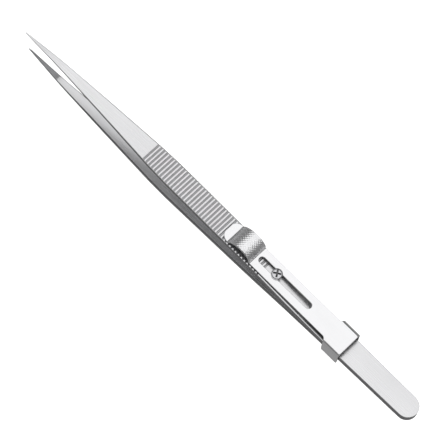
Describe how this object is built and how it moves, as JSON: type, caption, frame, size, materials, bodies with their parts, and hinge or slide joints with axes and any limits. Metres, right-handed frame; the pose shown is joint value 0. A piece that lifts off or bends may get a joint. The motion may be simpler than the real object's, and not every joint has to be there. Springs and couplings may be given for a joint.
{
  "type": "precision tweezers",
  "caption": "Fine-pointed steel tweezers with grooved spring arms joined at a flat round tail and a sliding sheet-metal lock with a knurled thumb arch and a guide screw.",
  "frame": {"origin": "middle of the length and width, at the lowest face, which is the outer face of the back arm", "axes": "+X along the arms towards the points, +Y across the arms, +Z from the back arm to the front arm, which carries the slider"},
  "size_m": [0.16, 0.0094, 0.0173],
  "materials": {
    "arm_steel": "satin, fine brushing along the arms",
    "slider_steel": "smooth satin sheet",
    "screw_steel": "plain turned steel"
  },
  "bodies": {
    "tail": {"front_arm_tail": "arm_steel", "back_arm_tail": "arm_steel"},
    "front_arm": {"front_arm": "arm_steel", "lock_screw": "screw_steel"},
    "back_arm": {"back_arm": "arm_steel"},
    "slider": {"slider": "slider_steel"}
  },
  "joints": [
    {"name": "front_arm_flex", "type": "hinge", "parent": "tail", "child": "front_arm", "pos_m": [-0.049, 0, 0.0083], "axis": [0, 1, 0], "range_deg": [0, 2.28], "stiffness_Nm_per_rad": 3.5},
    {"name": "back_arm_flex", "type": "hinge", "parent": "tail", "child": "back_arm", "pos_m": [-0.049, 0, 0.0066], "axis": [0, -1, 0], "range_deg": [0, 2.28], "stiffness_Nm_per_rad": 3.5},
    {"name": "slider_slide", "type": "slide", "parent": "front_arm", "child": "slider", "axis": [0.9996, 0, 0.0279], "range_m": [-0.0059, 0.0125]}
  ],
  "couplings": [
    {"joint": "back_arm_flex", "follows": "front_arm_flex", "ratio": 1}
  ]
}
